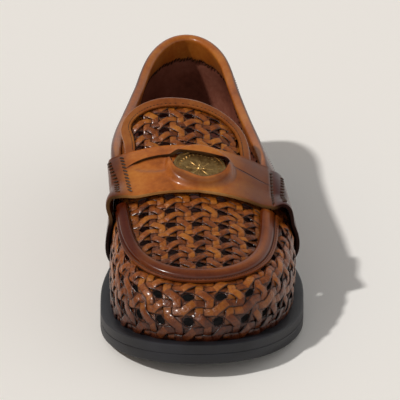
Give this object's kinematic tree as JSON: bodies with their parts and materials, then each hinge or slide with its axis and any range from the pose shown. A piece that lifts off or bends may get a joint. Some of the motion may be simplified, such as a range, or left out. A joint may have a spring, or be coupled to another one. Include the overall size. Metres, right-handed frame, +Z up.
{
  "type": "woven loafer",
  "caption": "Men's left slip-on loafer: open cane-weave leather upper, smooth saddle strap with a slot that holds a coin, rolled apron border, low heel and black rubber sole.",
  "frame": {"origin": "on the floor, under the middle of the shoe's bounding box", "axes": "+Y from toe to heel, +X towards the little-toe side, +Z up"},
  "size_m": [0.1058, 0.2938, 0.0897],
  "materials": {
    "woven_leather": "burnished brown leather strips in cane weave, semi-gloss",
    "tan_leather": "smooth tan leather with darkened edges, semi-gloss",
    "sock_leather": "dark reddish-brown leather insole, matte",
    "sole_rubber": "black rubber, satin",
    "coin_brass": "worn brass"
  },
  "bodies": {
    "root": {"upper": "woven_leather", "outsole": "sole_rubber", "midsole": "sole_rubber", "heel": "sole_rubber", "insole": "sock_leather", "apron_border": "tan_leather", "collar_binding": "tan_leather", "tongue_binding": "tan_leather", "saddle_strap": "tan_leather", "strap_backing": "tan_leather", "coin": "coin_brass", "back_stay": "tan_leather"}
  },
  "joints": []
}
